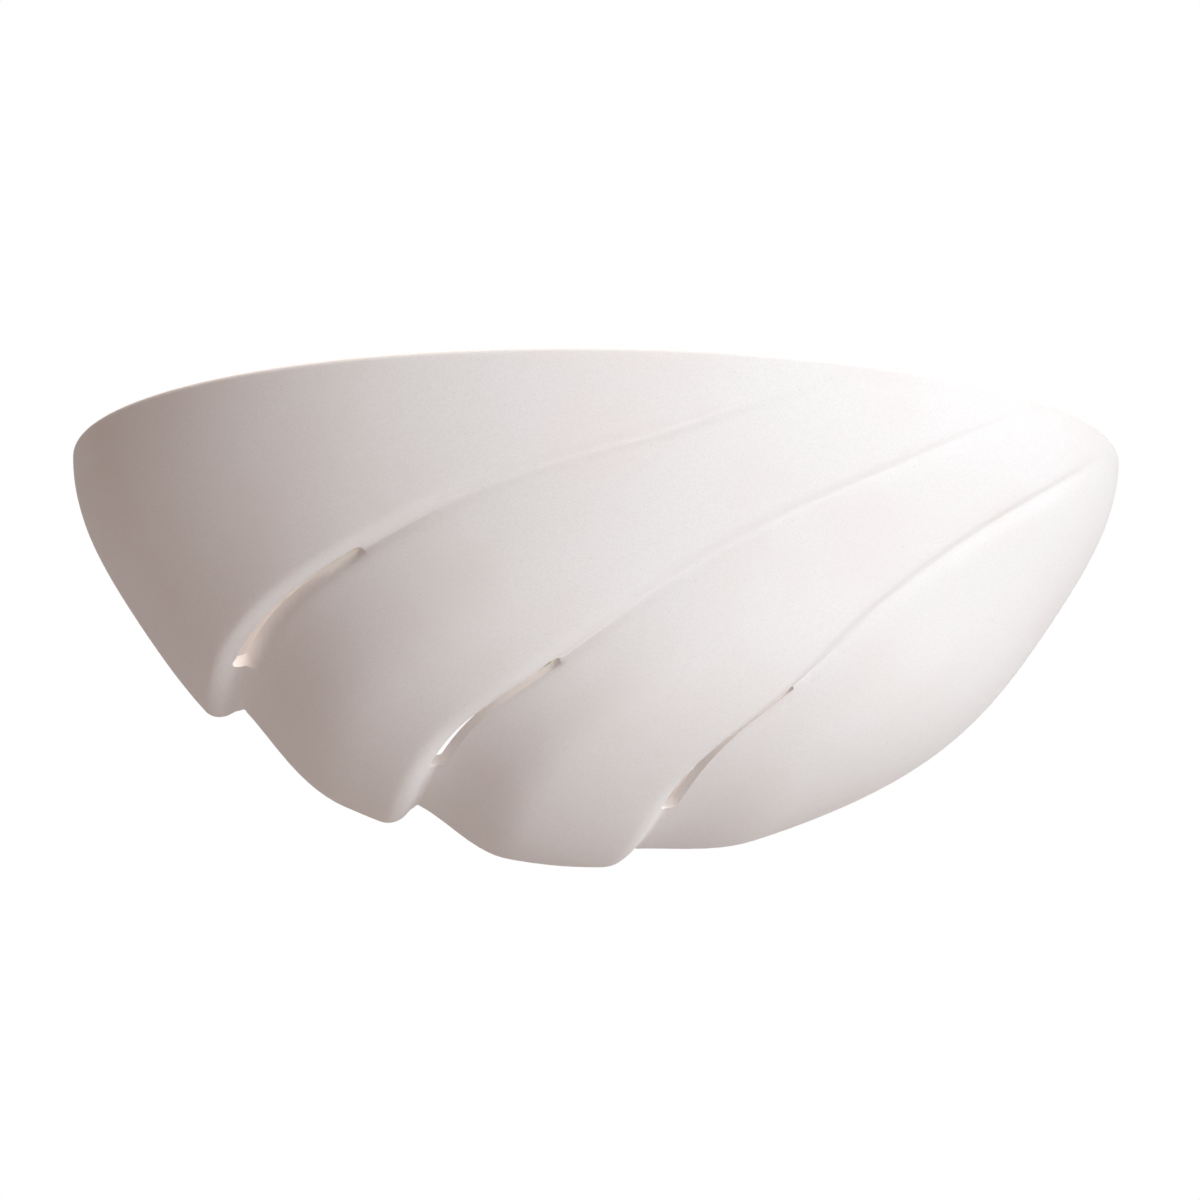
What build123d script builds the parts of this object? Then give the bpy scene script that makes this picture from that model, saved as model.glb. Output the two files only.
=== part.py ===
from build123d import *
from math import cos, exp, pi, radians, sin, sqrt
import os

# Shell wall sconce: a ceramic half bowl with four overlapping petals, on a steel wall plate with one lamp.
# Millimetres. +Z is up, the front faces -Y and the wall is the plane Y = 0.
# The origin is the centre of the wall plate's back face.

os.makedirs("parts", exist_ok=True)

# ---------------------------------------------------------------- driving dimensions
# bowl
bowl_half_width = 200.0
bowl_depth = 160.0
bowl_height = 159.0
bowl_wall = 7.0
rim_height = 55.0            # rim above the centre of the wall plate
rim_lean = 0.48              # degrees, the cast rim stands a little higher on the left
rim_round = 2.4
flank_flat = 0.030           # how much flatter than an ellipse the bowl's flank is
flank_flat_top = 0.024       # the same, only below the rim
flank_flat_ends = 0.062      # the same, at the rim and at the bottom

# petals: how far each petal steps in behind the lip above it, and how far on it is level again
step_depths = [11.0, 11.0, 6.5]
recover_lengths = [57.0, 42.0, 42.0]
lip_width = 9.0
lip_roll = 0.97              # how near the lip's quarter round comes to a right angle
lip_turn = 2.5               # from the lip's edge to the foot of its step
groove_depth = 1.6
groove_width = 4.5
tuck_depth = 3.0
tuck_width = 9.0
# shares of the way along an edge, from the toe to the rim, over which each of these comes in or dies away
step_fade = (0.15, 0.70)
groove_rise = (0.20, 0.40)
groove_fade = (0.72, 0.88)
tuck_rise = (0.22, 0.32)
tuck_fade = (0.42, 0.56)

# slits under the lips
slit_foot_widths = [9.5, 6.0, 6.0]
slit_tip_widths = [4.6, 4.2, 3.0]
slit_taper = 0.8             # share of a slit's length over which it narrows from foot to tip
slit_lip_bite = 0.7
slit_lean_side = -0.42       # sideways and upward drift of a slit for each millimetre inwards
slit_lean_up = 0.70
slit_end_gap = 6.0           # from the end of a cut to the lugs
slit_spans = [(0.252, 0.474), (0.252, 0.452), (0.240, 0.428)]

# flange inside the bowl's back edge, below the plate's ears, round an open window
flange_thickness = 7.0
flange_top = 2.0
window_side_gap = 20.0       # from the plate's side and foot to the window
window_low_gap = 23.0
window_round = 30.0

# lugs inside the bowl's upper corners, and their screws
lug_inset = 52.0             # from the bowl's side to the screw line
lug_height = 15.0            # screw line above the plate's centre
lug_thickness = 8.0
lug_width = 44.0
lug_tall = 34.0
lug_hole_radius = 3.2
lug_round = 12.0
thumb_thread_radius = 2.0
thumb_thread_pitch = 0.7
thumb_head_radius = 8.0
thumb_head_length = 9.0
thumb_flute_count = 24
thumb_flute_radius = 0.55
thumb_end_gap = 3.0          # from the screw's end to the wall
washer_radius = 7.0
washer_thickness = 1.2

# wall plate
plate_width = 180.0
plate_height = 90.0
plate_thickness = 1.5
plate_corner = 8.0
ear_end = 13.0               # from the screw line to the ear's end
ear_height = 24.0
ear_rise = 6.0               # how far the ears stand off the wall
ear_flat = 14.0              # from the ear's bend to the screw line
ear_bend_run = 8.0
wall_slot_gap = 14.0         # from the middle of a wall slot to the bend
wall_slot_length = 14.0
wall_slot_radius = 2.5
bush_radius = 3.4
bush_flange_radius = 4.8
bush_flange_thickness = 1.0
bush_stand = 4.5             # bush length in front of the ear

# cable entry
cable_hole_x = 58.0
cable_hole_z = -22.0
cable_hole_radius = 10.0
grommet_bore_radius = 5.0
grommet_lip = 2.5
grommet_lip_thickness = 1.6

# lamp bracket
bracket_thickness = 2.0
bracket_reach = 92.0
bracket_height = 44.0
bracket_foot_length = 36.0
bracket_foot_height = 24.0
bracket_corner = 14.0
rivet_radius = 2.0
rivet_head_radius = 3.4
rivet_head_height = 1.4
rivet_spacing = 16.0

# lampholder, its axis along X
holder_face_x = -80.0        # where the holder sits on the bracket
holder_y = -62.0
holder_z = 12.0
holder_radius = 22.0
holder_length = 46.0
holder_floor = 10.0
holder_bore_radius = 15.4
holder_step = 1.6
holder_screw_offset = 8.6
holder_screw_radius = 1.9
holder_screw_head_radius = 3.2
holder_screw_head_height = 2.2
liner_radius = 14.1
liner_sheet = 0.8
thread_wave = 0.35
thread_pitch = 3.62
liner_rings = 8
contact_width = 6.0
contact_sheet = 0.6
contact_length = 8.0
contact_rise = 3.4
terminal_size = 8.0
terminal_length = 10.0
terminal_height = 10.0
terminal_offset = 11.0
terminal_window_gap = 1.0
terminal_screw_radius = 1.5
terminal_screw_head_radius = 2.4

# lamp
lamp_glass_radius = 30.0
lamp_neck_radius = 12.4
lamp_length = 111.0
lamp_glass_wall = 0.9
lamp_neck_flare = 3.4        # how much wider the neck is where it meets the ball
lamp_ball_sweep = 128.0      # degrees of the ball's round, from its tip to the neck
lamp_shoulder = 1.15         # from the ball's middle to the neck, in ball radii
lamp_cap_length = 24.0
lamp_cap_foot = 2.0          # plain part of the cap behind its first ring
lamp_cap_sheet = 0.5
cap_rings = 5
insulator_length = 3.4
insulator_tip_radius = 6.0
lamp_contact_radius = 4.6
lamp_contact_height = 1.2
stem_radius = 4.0
stem_length = 38.0
lead_radius = 0.5
lead_spread = 13.0
lead_length = 18.0
filament_radius = 0.45
filament_bow = 7.0

# driver slots
driver_slot_width = 1.0
driver_slot_depth = 1.0

# terminal block and its leads
block_x = 24.0
block_z = -26.0
block_depth = 20.0
block_rise = 17.0
block_pitch = 12.0
block_rib = 1.2
insert_radius = 3.0
insert_length = 16.0
insert_bore_radius = 1.5
block_screw_radius = 1.7
block_screw_head_radius = 2.9
way_screw_radius = 1.6
way_screw_length = 4.0
lead_height = 9.5            # wire line in front of the plate
wire_radius = 1.3
core_radius = 0.8
core_length = 5.0
core_stub = 0.5              # bare core that shows in the earth tag
wire_bend = 10.0
earth_x = -34.0
earth_ring_radius = 4.6
earth_ring_thickness = 0.8
earth_barrel_radius = 1.9
earth_barrel_length = 8.0
earth_screw_radius = 2.0
earth_screw_head_radius = 3.8
earth_screw_head_height = 2.4
earth_washer_radius = 4.4
earth_washer_thickness = 0.8

# clearances
running_gap = 0.05           # thread in its bush
thread_gap = 0.15            # lamp cap's rings past the liner's rings
seat_gap = 0.3               # between seats of pieces that part
fit_gap = 0.1                # round a fixed piece in its hole

# ---------------------------------------------------------------- derived places
lug_offset = bowl_half_width - lug_inset
ear_reach = lug_offset + ear_end
ear_bend_end = lug_offset - ear_flat
ear_bend_start = ear_bend_end - ear_bend_run
wall_slot_offset = ear_bend_start - wall_slot_gap
window_half_width = plate_width / 2 + window_side_gap
window_depth = flange_top + plate_height / 2 + window_low_gap
plate_front = -plate_thickness
ear_front = -(ear_rise + plate_thickness)
lug_back = ear_front - bush_stand - seat_gap
lug_front = lug_back - lug_thickness
washer_back = lug_front - seat_gap
washer_front = washer_back - washer_thickness
head_back = washer_front - seat_gap
bracket_side = holder_face_x - bracket_thickness
lamp_tip_x = holder_face_x + holder_floor + contact_rise + contact_sheet + seat_gap
lamp_end_x = lamp_tip_x + lamp_length
lamp_cap_radius = liner_radius - liner_sheet / 2 - 2 * thread_wave - lamp_cap_sheet / 2 - thread_gap
wire_y = plate_front - lead_height
foot_z = holder_z - bracket_height / 2 + bracket_foot_height / 2
rivet_middle = bracket_side + bracket_foot_length / 2 + bracket_thickness
rivet_places = [
    (rivet_middle - rivet_spacing / 2, foot_z),
    (rivet_middle + rivet_spacing / 2, foot_z),
]


# ---------------------------------------------------------------- bowl shape
# A place on the bowl is two angles, seen from below the front: degrees to the right and degrees up
# from the middle of the bowl's face. The rim is 45 degrees up in the middle, the wall 45 degrees down.
# Each line is a petal's edge from its toe, beyond the wall, to where it leaves the rim on the right.
above_rim = [(-112, 5), (-88, 32), (-60, 45), (-30, 55), (0, 58), (30, 57), (62, 54), (106, 50)]
first_lip = [(-56, -54), (-50, -28), (-44, -8), (-33, 9), (-15, 24.5), (6, 33), (35, 38.5), (104, 34)]
second_lip = [(-30, -64), (-24, -42), (-17, -17), (-7, -2.5), (10, 14), (32, 24), (60, 27.2), (104, 18)]
third_lip = [(-2, -64), (4, -44), (10.5, -21.5), (22, -7), (35, 5), (53.5, 12.2), (76, 11.5), (104, 2)]
below_wall = [(45, -64), (52, -50), (60, -42), (68, -36), (76, -31), (84, -28), (92, -25), (104, -22)]
edge_lines = [above_rim, first_lip, second_lip, third_lip, below_wall]
lip_count = len(step_depths)

near_rows = [-16, -12, -9.5, -7.8, -6.2, -4.6, -3.2, -2, -1, -0.3, 0.3, 1, 2.2, 3.8, 6, 9, 13]
open_rows = [16, 10, 10, 14]
column_count = 44
slit_point_count = 7
slit_plane_y = -bowl_depth
slit_back_y = lug_front - slit_end_gap
block_half = bowl_half_width + 40    # half the side of the block that the bowl is cut from


def smooth_step(value, low=0.0, high=1.0):
    """0 below the low value, 1 above the high one, and a soft S between."""
    part = min(1.0, max(0.0, (value - low) / (high - low)))
    return part * part * (3 - 2 * part)


def bowl_point(right, up, inward):
    """A point on the plain bowl, or inward of it by so many millimetres."""
    side, rise = radians(right), radians(up)
    reach = sqrt(side * side + rise * rise) + 1e-12
    spread = sin(reach) / reach
    across = side * spread
    forward = (-cos(reach) - rise * spread) * sqrt(0.5)
    upward = (-cos(reach) + rise * spread) * sqrt(0.5)
    low = upward * upward
    flat = flank_flat + flank_flat_top * (1 - 2 * low) + flank_flat_ends * (1 - 2 * low) ** 2
    scale = 1 - 4 * low * (1 - low) * flat
    point = Vector(bowl_half_width * across, bowl_depth * forward, bowl_height * upward) * scale
    normal = Vector(across / bowl_half_width, forward / bowl_depth, upward / bowl_height).normalized()
    return point - normal * inward + Vector(0, 0, rim_height)


def along(line, share):
    """The angles at a share, 0 to 1, of the way along an edge line, on a smooth curve through its points."""
    last = len(line) - 1
    index = min(int(share * last), last - 1)
    part = share * last - index

    def node(number):
        if number < 0:
            return [2 * a - b for a, b in zip(line[0], line[1])]
        if number > last:
            return [2 * a - b for a, b in zip(line[last], line[last - 1])]
        return line[number]

    corners = zip(node(index - 1), node(index), node(index + 1), node(index + 2))
    return [
        0.5 * (2 * b + (c - a) * part + (2 * a - 5 * b + 4 * c - d) * part ** 2
               + (3 * b - a - 3 * c + d) * part ** 3)
        for a, b, c, d in corners
    ]


def lip_relief(lip, share, past, soft):
    """How far the bowl is pushed in at a distance past a lip's edge, or past its softer print inside."""
    step = step_depths[lip] * (1 - smooth_step(share, *step_fade))
    recovery = 1 - smooth_step(past, 0, recover_lengths[lip])
    if soft:
        return step * recovery * smooth_step(past, -lip_width, soft)
    groove = groove_depth * smooth_step(share, *groove_rise) * (1 - smooth_step(share, *groove_fade))
    tuck = tuck_depth * smooth_step(share, *tuck_rise) * (1 - smooth_step(share, *tuck_fade))
    edge_drop = 1 - sqrt(1 - lip_roll ** 2)
    if past <= -lip_width:
        form = 0.0
    elif past < 0:
        form = 1 - sqrt(1 - (lip_roll * (past + lip_width) / lip_width) ** 2)
    else:
        form = recovery * (edge_drop + (1 - edge_drop) * smooth_step(past, 0, lip_turn))
    dip = groove * exp(-(past / groove_width) ** 2)
    if 0 <= past < tuck_width:
        dip += tuck * (1 - past / tuck_width) ** 2 * smooth_step(past, 0, lip_turn)
    return step * form + dip


def skin_column(share, inward):
    """Points across all four petals, one share of the way along their edges, at a depth in the wall."""
    points = []
    for petal in range(lip_count + 1):
        start = along(edge_lines[petal], share)
        end = along(edge_lines[petal + 1], share)
        width = (bowl_point(*end, 0) - bowl_point(*start, 0)).length
        first = 0.0 if petal == 0 else near_rows[-1] / width
        final = 1.0 if petal == lip_count else 1 + near_rows[0] / width
        spans = open_rows[petal] + 1
        steps = range(0 if petal == 0 else 1, spans + (1 if petal == lip_count else 0))
        places = [first + (final - first) * number / spans for number in steps]
        if petal > 0:
            places = [row / width for row in near_rows if row > 0] + places
        if petal < lip_count:
            places = places + [1 + row / width for row in near_rows if row < 0]
        for place in places:
            depth = inward
            if petal > 0:
                depth += lip_relief(petal - 1, share, place * width + inward, inward)
            if petal < lip_count:
                depth += lip_relief(petal, share, (place - 1) * width + inward, inward)
            angles = [a + (b - a) * place for a, b in zip(start, end)]
            points.append(bowl_point(*angles, depth))
    return points


def bowl_skin(inward):
    """A smooth face over the bowl's front, running on past the rim and the wall."""
    columns = [skin_column(number / column_count, inward) for number in range(column_count + 1)]
    shares = []
    for points in columns:
        steps = [(ahead - behind).length for behind, ahead in zip(points, points[1:])]
        shares.append([step / sum(steps) for step in steps])
    mean_steps = [sum(steps) / len(columns) for steps in zip(*shares)]
    places = [sum(mean_steps[:number]) for number in range(len(mean_steps))] + [1.0]
    curves = [Edge.make_spline(points, parameters=places) for points in columns]
    return Shell.make_loft([Wire([curve]) for curve in curves]).faces()[0]


def slit_face_points(lip, past):
    """Points of a slit's edge, in the plane in front of the bowl that the slit is cut from."""
    start, end = slit_spans[lip]
    points = []
    for number in range(slit_point_count):
        part = number / (slit_point_count - 1)
        share = start + (end - start) * part
        offset = past(part)
        line = along(edge_lines[lip + 1], share)
        beside = along(edge_lines[lip + 2], share)
        width = (bowl_point(*beside, 0) - bowl_point(*line, 0)).length
        angles = [a + (b - a) * offset / width for a, b in zip(line, beside)]
        place = bowl_point(*angles, lip_relief(lip, share, offset, 0))
        back = place.Y - slit_plane_y
        points.append((place.X - slit_lean_side * back, place.Z - slit_lean_up * back))
    return points


# ---------------------------------------------------------------- ceramic shell
outer_skin = bowl_skin(0)
inner_skin = bowl_skin(bowl_wall)
rim_plane = Plane((0, 0, rim_height), z_dir=(sin(radians(rim_lean)), 0, cos(radians(rim_lean))))

with BuildPart() as plug:
    with BuildSketch(Plane.XZ):
        Rectangle(2 * block_half, 2 * block_half)
    extrude(amount=block_half)
    split(bisect_by=rim_plane, keep=Keep.BOTTOM)
    split(bisect_by=outer_skin, keep=Keep.ALL)
plug_solid = plug.part.solids().sort_by(SortBy.VOLUME)[0]

with BuildPart() as core:
    with BuildSketch(Plane.XZ.offset(-rim_round * 4)):
        Rectangle(2 * block_half, 2 * block_half)
    extrude(amount=block_half)
    with BuildSketch(Plane.XY.offset(rim_height + rim_round * 4)):
        Rectangle(3 * block_half, 3 * block_half)
    extrude(amount=block_half, mode=Mode.SUBTRACT)
    split(bisect_by=inner_skin, keep=Keep.ALL)
core_solid = core.part.solids().sort_by(SortBy.VOLUME)[0]

with BuildPart() as hollow:
    add(core_solid)
    with BuildSketch(Plane.XZ.offset(-lug_back)):
        for side in (-1, 1):
            with Locations((side * (lug_offset + lug_width / 2), lug_height)):
                RectangleRounded(2 * lug_width, lug_tall, lug_round)
    extrude(amount=lug_thickness, mode=Mode.SUBTRACT)
    with BuildSketch(Plane.XZ.offset(-lug_back)):
        with Locations((-lug_offset, lug_height), (lug_offset, lug_height)):
            Circle(lug_hole_radius)
    extrude(amount=lug_thickness)
    with BuildSketch(Plane.XZ.offset(flange_thickness)):
        with Locations((0, flange_top - block_half / 2)):
            Rectangle(2 * block_half, block_half)
        with Locations((0, flange_top)):
            RectangleRounded(2 * window_half_width, 2 * window_depth, window_round, mode=Mode.SUBTRACT)
    extrude(amount=-block_half, mode=Mode.SUBTRACT)


def round_end(upper, lower, upper_next):
    """The top of a half round that closes a slit's end, beyond the end's two edge points."""
    above, below = Vector(*upper), Vector(*lower)
    middle = (above + below) * 0.5
    ahead = (above - Vector(*upper_next)).normalized()
    crown = middle + ahead * (above - middle).length
    return crown.X, crown.Y


def slit_cutter(lip):
    """A crescent under a lip, cut inwards through the wall on a slant."""
    foot, tip = slit_foot_widths[lip], slit_tip_widths[lip]
    upper = slit_face_points(lip, lambda part: -slit_lip_bite)
    lower = slit_face_points(lip, lambda part: foot + (tip - foot) * smooth_step(part, 0, slit_taper))
    lean = Vector(slit_lean_side, 1, slit_lean_up)
    with BuildPart() as cutter:
        with BuildSketch(Plane.XZ.offset(-slit_plane_y)):
            with BuildLine():
                Spline(*upper)
                ThreePointArc(upper[-1], round_end(upper[-1], lower[-1], upper[-2]), lower[-1])
                Spline(*reversed(lower))
                ThreePointArc(lower[0], round_end(upper[0], lower[0], upper[1]), upper[0])
            make_face()
        extrude(amount=(slit_back_y - slit_plane_y) * lean.length, dir=lean.normalized())
    return cutter.part


with BuildPart() as ceramic_shell:
    add(plug_solid)
    add(hollow.part, mode=Mode.SUBTRACT)
    for lip in range(lip_count):
        add(slit_cutter(lip), mode=Mode.SUBTRACT)
    rim_edges = ceramic_shell.edges().filter_by(
        lambda edge: edge.length > bowl_half_width and abs(rim_plane.to_local_coords(edge @ 0.5).Z) < fit_gap
    )
    fillet(rim_edges, rim_round)
ceramic_shell.part.label = "ceramic_shell"
export_step(ceramic_shell.part, "parts/ceramic_shell.step")


# ---------------------------------------------------------------- wall plate

with BuildPart() as wall_plate:
    with BuildSketch(Plane.XZ):
        RectangleRounded(plate_width, plate_height, plate_corner)
    extrude(amount=plate_thickness)
    for side in (-1, 1):
        with BuildSketch(Plane.XY.offset(lug_height - ear_height / 2)):
            with BuildLine():
                Polyline(
                    (side * (plate_width / 2 - plate_corner), 0),
                    (side * ear_bend_start, 0),
                    (side * ear_bend_end, -ear_rise),
                    (side * ear_reach, -ear_rise),
                    (side * ear_reach, ear_front),
                    (side * (ear_bend_end - plate_thickness / 2), ear_front),
                    (side * (ear_bend_start - plate_thickness / 2), plate_front),
                    (side * (plate_width / 2 - plate_corner), plate_front),
                    close=True,
                )
            make_face()
        extrude(amount=ear_height)
    ear_corners = wall_plate.edges().filter_by(Axis.Y)
    fillet(ear_corners.filter_by(lambda edge: abs(edge.center().X) > ear_reach - 1), plate_corner)
    with BuildSketch(Plane.XZ.offset(-ear_rise * 2)):
        with Locations((-lug_offset, lug_height), (lug_offset, lug_height)):
            Circle(bush_radius + fit_gap)
        with Locations((-wall_slot_offset, lug_height), (wall_slot_offset, lug_height)):
            SlotOverall(wall_slot_length, 2 * wall_slot_radius)
        with Locations((cable_hole_x, cable_hole_z)):
            Circle(cable_hole_radius)
        with Locations((block_x, block_z + block_pitch / 2)):
            Circle(block_screw_radius + fit_gap)
        with Locations((earth_x, block_z)):
            Circle(earth_screw_radius + fit_gap)
        with Locations(*rivet_places):
            Circle(rivet_radius + fit_gap)
    extrude(amount=ear_rise * 5, mode=Mode.SUBTRACT)
wall_plate.part.label = "wall_plate"
export_step(wall_plate.part, "parts/wall_plate.step")

with BuildPart() as fixing_bushes:
    with BuildSketch(Plane.XZ.offset(ear_rise - bush_flange_thickness)):
        with Locations((-lug_offset, lug_height), (lug_offset, lug_height)):
            Circle(bush_flange_radius)
    extrude(amount=bush_flange_thickness)
    with BuildSketch(Plane.XZ.offset(ear_rise - bush_flange_thickness)):
        with Locations((-lug_offset, lug_height), (lug_offset, lug_height)):
            Circle(bush_radius)
    extrude(amount=bush_flange_thickness + plate_thickness + bush_stand)
    with BuildSketch(Plane.XZ):
        with Locations((-lug_offset, lug_height), (lug_offset, lug_height)):
            Circle(thumb_thread_radius + running_gap)
    extrude(amount=4 * ear_rise, mode=Mode.SUBTRACT)
fixing_bushes.part.label = "fixing_bushes"
export_step(fixing_bushes.part, "parts/fixing_bushes.step")

grommet_seat = plate_front - fit_gap
grommet_lip_front = grommet_seat - grommet_lip_thickness
grommet_bore_z = cable_hole_z + grommet_bore_radius
grommet_waist_z = cable_hole_z + cable_hole_radius - fit_gap
grommet_lip_z = cable_hole_z + cable_hole_radius + grommet_lip

with BuildPart() as cable_grommet:
    with BuildSketch(Plane.YZ.offset(cable_hole_x)):
        with BuildLine():
            Polyline(
                (-fit_gap, grommet_bore_z),
                (-fit_gap, grommet_waist_z),
                (grommet_seat, grommet_waist_z),
                (grommet_seat, grommet_lip_z),
                (grommet_lip_front, grommet_lip_z),
                (grommet_lip_front - grommet_lip, grommet_bore_z),
                close=True,
            )
        make_face()
    revolve(axis=Axis((cable_hole_x, 0, cable_hole_z), (0, 1, 0)))
    fillet(cable_grommet.edges().filter_by(GeomType.CIRCLE).sort_by(Axis.Y)[0], grommet_lip / 4)
cable_grommet.part.label = "cable_grommet"
export_step(cable_grommet.part, "parts/cable_grommet.step")


# ---------------------------------------------------------------- thumb screws and washers
for side_name, side in (("left", -1), ("right", 1)):
    with BuildPart() as washer:
        with BuildSketch(Plane.XZ.offset(-washer_back)):
            with Locations((side * lug_offset, lug_height)):
                Circle(washer_radius)
                Circle(thumb_thread_radius + seat_gap, mode=Mode.SUBTRACT)
        extrude(amount=washer_thickness)
        fillet(washer.edges().filter_by(GeomType.CIRCLE).sort_by(SortBy.LENGTH)[-2:], washer_thickness / 4)
    washer.part.label = side_name + "_clamp_washer"
    export_step(washer.part, "parts/" + side_name + "_clamp_washer.step")

    with BuildPart() as thumb_screw:
        with BuildSketch(Plane.XZ.offset(-head_back)):
            with Locations((side * lug_offset, lug_height)):
                Circle(thumb_head_radius)
        extrude(amount=thumb_head_length)
        chamfer(thumb_screw.edges().filter_by(GeomType.CIRCLE), thumb_flute_radius)
        with BuildSketch(Plane.XZ.offset(-head_back)):
            with Locations((side * lug_offset, lug_height)):
                with PolarLocations(thumb_head_radius, thumb_flute_count):
                    Circle(thumb_flute_radius)
        extrude(amount=thumb_head_length, mode=Mode.SUBTRACT)
        with BuildSketch(Plane.XZ.offset(thumb_end_gap)):
            with Locations((side * lug_offset, lug_height)):
                Circle(thumb_thread_radius)
        extrude(amount=-head_back - thumb_end_gap)
        chamfer(thumb_screw.edges().filter_by(GeomType.CIRCLE).sort_by(Axis.Y)[-1], thumb_thread_pitch)
        with BuildSketch(Plane.XZ.offset(thumb_head_length - head_back)):
            with Locations((side * lug_offset, lug_height)):
                Rectangle(2 * thumb_head_radius, driver_slot_width)
        extrude(amount=-driver_slot_depth, mode=Mode.SUBTRACT)
    thumb_screw.part.label = side_name + "_thumb_screw"
    export_step(thumb_screw.part, "parts/" + side_name + "_thumb_screw.step")


# ---------------------------------------------------------------- lamp bracket
with BuildPart() as lamp_bracket:
    with BuildSketch(Plane.YZ.offset(bracket_side)):
        with Locations(((plate_front - bracket_reach) / 2, holder_z)):
            Rectangle(bracket_reach + plate_front, bracket_height)
    extrude(amount=bracket_thickness)
    front_corners = lamp_bracket.edges().filter_by(Axis.X).group_by(Axis.Y)[0]
    fillet(front_corners, bracket_corner)
    with BuildSketch(Plane.XZ.offset(plate_thickness)):
        with Locations((bracket_side + bracket_foot_length / 2, foot_z)):
            Rectangle(bracket_foot_length, bracket_foot_height)
    extrude(amount=bracket_thickness)
    inner_bend = lamp_bracket.edges().filter_by(Axis.Z).filter_by(
        lambda edge: abs(edge.center().X - holder_face_x) < 0.01
        and abs(edge.center().Y - plate_front + bracket_thickness) < 0.01
    )
    fillet(inner_bend, bracket_thickness)
    with BuildSketch(Plane.YZ.offset(bracket_side)):
        for side in (-1, 1):
            with Locations((holder_y + side * terminal_offset, holder_z)):
                Rectangle(terminal_size + 2 * terminal_window_gap, terminal_height + 2 * terminal_window_gap)
            with Locations((holder_y, holder_z + side * holder_screw_offset)):
                Circle(holder_screw_radius + fit_gap)
    extrude(amount=bracket_thickness, mode=Mode.SUBTRACT)
    with BuildSketch(Plane.XZ.offset(plate_thickness)):
        with Locations(*rivet_places):
            Circle(rivet_radius + fit_gap)
    extrude(amount=bracket_thickness, mode=Mode.SUBTRACT)
lamp_bracket.part.label = "lamp_bracket"
export_step(lamp_bracket.part, "parts/lamp_bracket.step")

with BuildPart() as bracket_rivets:
    with BuildSketch(Plane.XZ.offset(fit_gap)):
        with Locations(*rivet_places):
            Circle(rivet_radius)
    extrude(amount=plate_thickness + bracket_thickness)
    with BuildSketch(Plane.XZ.offset(plate_thickness + bracket_thickness)):
        with Locations(*rivet_places):
            Circle(rivet_head_radius)
    extrude(amount=rivet_head_height)
    fillet(bracket_rivets.edges().filter_by(GeomType.CIRCLE).group_by(Axis.Y)[0], rivet_head_height * 0.8)
bracket_rivets.part.label = "bracket_rivets"
export_step(bracket_rivets.part, "parts/bracket_rivets.step")


# ---------------------------------------------------------------- lampholder
holder_axis = Axis((0, holder_y, holder_z), (1, 0, 0))
holder_plane = Plane((0, holder_y, holder_z), x_dir=(1, 0, 0), z_dir=(0, 0, 1))
holder_end_x = holder_face_x + holder_length
holder_floor_x = holder_face_x + holder_floor

with BuildPart() as lampholder_body:
    with BuildSketch(holder_plane):
        with BuildLine():
            Polyline(
                (holder_face_x, 0),
                (holder_face_x, holder_radius),
                (holder_face_x + holder_floor, holder_radius),
                (holder_face_x + holder_floor + holder_step, holder_radius - holder_step),
                (holder_end_x, holder_radius - holder_step),
                (holder_end_x, holder_bore_radius),
                (holder_floor_x, holder_bore_radius),
                (holder_floor_x, 0),
                close=True,
            )
        make_face()
    revolve(axis=holder_axis)
    mouth = lampholder_body.edges().filter_by(GeomType.CIRCLE).group_by(Axis.X)[-1]
    fillet(mouth, holder_step)
    with BuildSketch(Plane.YZ.offset(holder_face_x)):
        for side in (-1, 1):
            with Locations((holder_y, holder_z + side * holder_screw_offset)):
                Circle(holder_screw_radius + fit_gap)
    extrude(amount=holder_floor, mode=Mode.SUBTRACT)
lampholder_body.part.label = "lampholder_body"
export_step(lampholder_body.part, "parts/lampholder_body.step")


def screw_shell_profile(start_x, radius, rings, sheet):
    """One rolled thread wave after another along the X axis, a sheet thick."""
    outer = [
        (start_x + number * thread_pitch / 2, radius + sheet / 2 - thread_wave * (-1) ** number)
        for number in range(2 * rings + 1)
    ]
    inner = [(x, r - sheet) for x, r in outer]
    return outer, inner


liner_start_x = holder_floor_x + liner_sheet
liner_outer, liner_inner = screw_shell_profile(liner_start_x, liner_radius, liner_rings, liner_sheet)
with BuildPart() as lampholder_liner:
    with BuildSketch(holder_plane):
        with BuildLine():
            Spline(*liner_outer)
            Line(liner_outer[-1], liner_inner[-1])
            Spline(*liner_inner)
            Line(liner_inner[0], liner_outer[0])
        make_face()
    revolve(axis=holder_axis)
    with BuildSketch(Plane.YZ.offset(holder_floor_x)):
        with Locations((holder_y, holder_z)):
            Circle(holder_bore_radius - fit_gap)
            Circle(liner_radius - thread_wave - liner_sheet / 2, mode=Mode.SUBTRACT)
    extrude(amount=liner_sheet + fit_gap)
lampholder_liner.part.label = "lampholder_liner"
export_step(lampholder_liner.part, "parts/lampholder_liner.step")

with BuildPart() as centre_contact:
    with BuildSketch(holder_plane.offset(-contact_width / 2)):
        with BuildLine():
            Polyline(
                (holder_floor_x, -contact_length / 2),
                (holder_floor_x + contact_rise, contact_length / 4),
                (holder_floor_x + contact_rise, contact_length / 2),
                (holder_floor_x + contact_rise + contact_sheet, contact_length / 2),
                (holder_floor_x + contact_rise + contact_sheet, contact_length / 4 - contact_sheet / 2),
                (holder_floor_x + contact_sheet, -contact_length / 2 - contact_sheet / 2),
                (holder_floor_x + contact_sheet, -contact_length),
                (holder_floor_x, -contact_length),
                close=True,
            )
        make_face()
    extrude(amount=contact_width)
centre_contact.part.label = "centre_contact"
export_step(centre_contact.part, "parts/centre_contact.step")

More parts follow.
